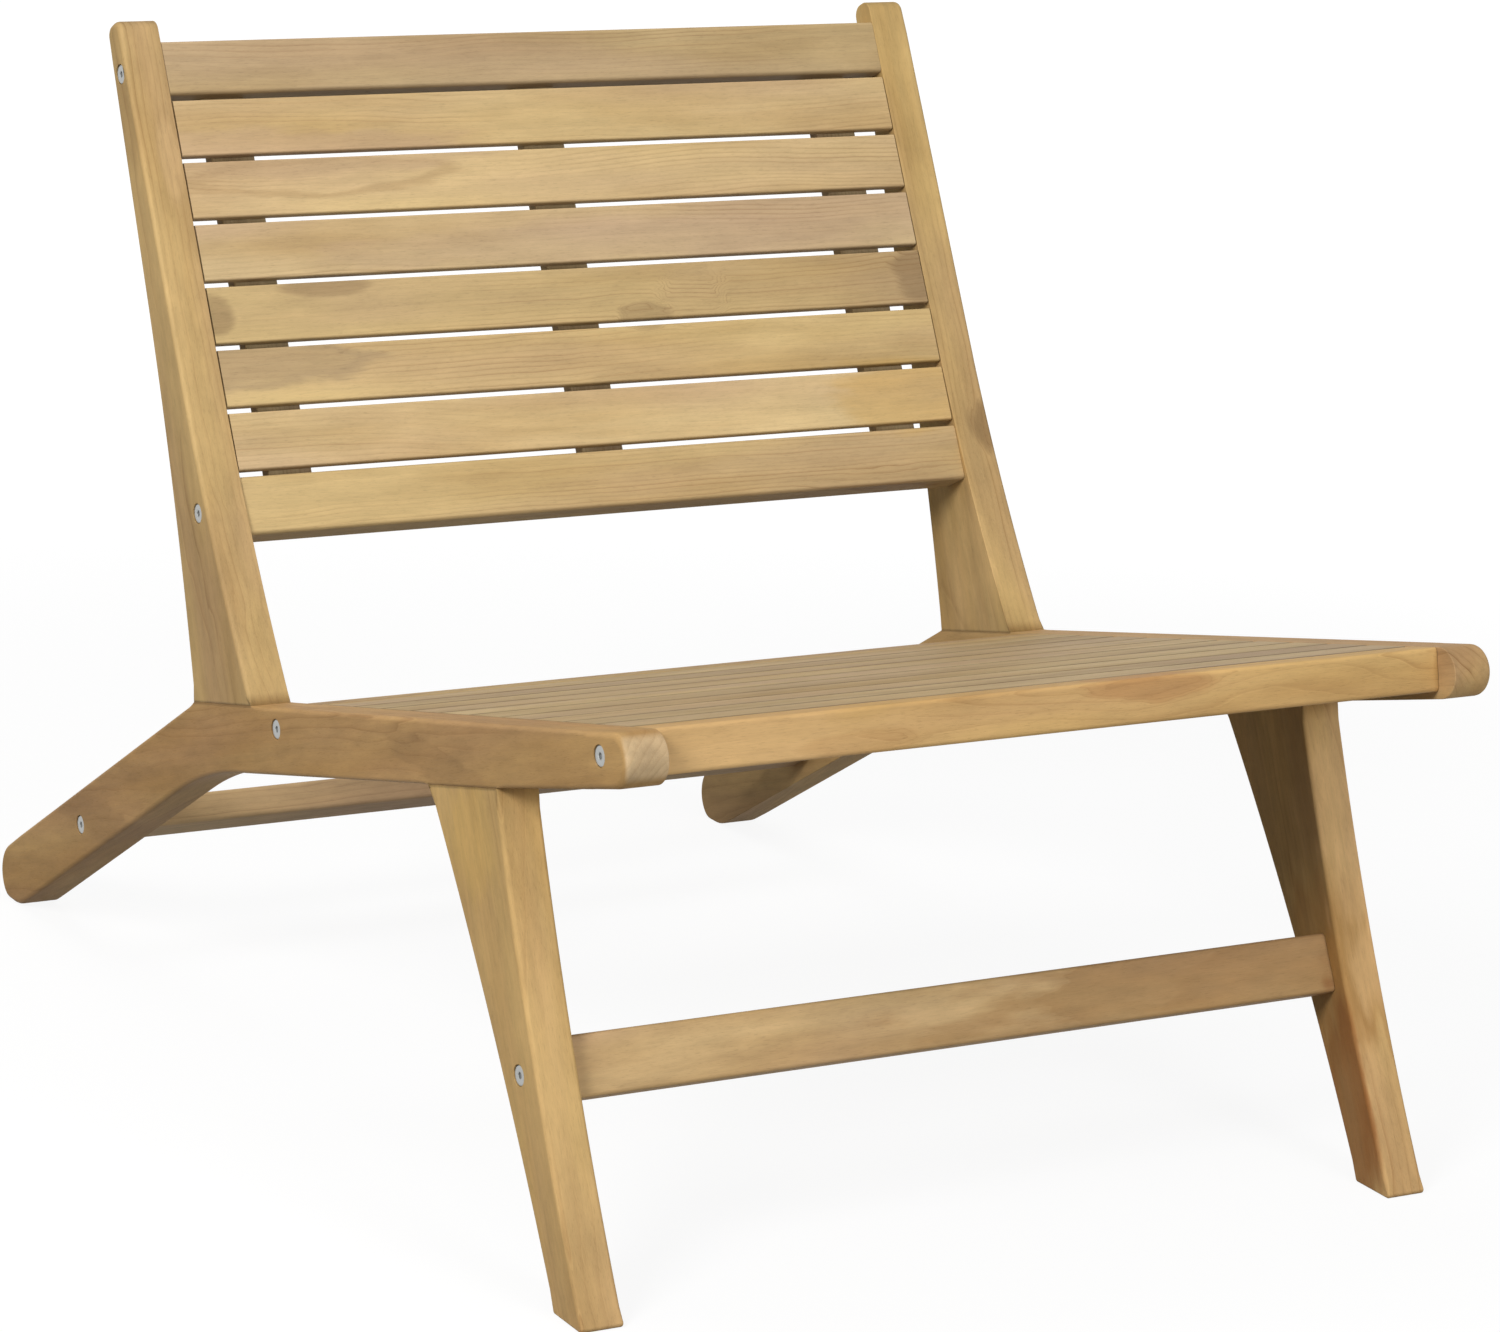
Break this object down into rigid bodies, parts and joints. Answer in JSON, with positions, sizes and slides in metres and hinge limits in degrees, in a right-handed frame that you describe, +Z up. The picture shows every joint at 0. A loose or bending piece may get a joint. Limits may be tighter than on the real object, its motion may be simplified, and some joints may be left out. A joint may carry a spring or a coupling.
{
  "type": "lounge chair",
  "caption": "Low teak lounge chair: slatted seat and leaning slatted back between bent side rails, on raked front legs joined by a stretcher.",
  "frame": {"origin": "on the floor, midway across the chair and midway between the tips of the rail noses and the rear feet", "axes": "+X across the chair, +Y from its front to its back, +Z up. Left and right in the node names are as seen from the front, so left is at -X."},
  "size_m": [0.64, 0.9606, 0.6906],
  "materials": {
    "teak": "satin oiled",
    "teak_light": "satin oiled",
    "teak_dark": "satin oiled",
    "teak_grey": "satin oiled",
    "teak_gold": "satin oiled",
    "zinc": "bright zinc plated"
  },
  "bodies": {
    "root": {"side_rail_left": "teak_dark", "side_rail_right": "teak_dark", "upright_left": "teak", "upright_right": "teak", "front_leg_left": "teak", "front_leg_right": "teak", "back_top_rail": "teak", "back_bottom_rail": "teak_light", "back_slat_1": "teak_light", "back_slat_2": "teak_light", "back_slat_3": "teak_light", "back_slat_4": "teak_light", "back_slat_5": "teak_light", "back_slat_6": "teak_light", "back_batten_left": "teak_grey", "back_batten_middle": "teak_grey", "back_batten_right": "teak_grey", "seat_front_rail": "teak_gold", "seat_rear_rail": "teak_grey", "seat_slat_1": "teak_grey", "seat_slat_2": "teak_grey", "seat_slat_3": "teak_grey", "seat_slat_4": "teak_grey", "seat_slat_5": "teak_grey", "seat_slat_6": "teak_grey", "seat_slat_7": "teak_grey", "seat_slat_8": "teak_grey", "seat_slat_9": "teak_grey", "seat_slat_10": "teak_grey", "seat_batten_left": "teak_grey", "seat_batten_middle": "teak_grey", "seat_batten_right": "teak_grey", "front_stretcher": "teak", "rear_stretcher": "teak_dark", "frame_bolts": "zinc", "cross_nuts": "zinc", "frame_dowels": "teak_light", "stretcher_dowels": "teak_light", "back_screws": "zinc", "seat_screws": "zinc"}
  },
  "joints": []
}
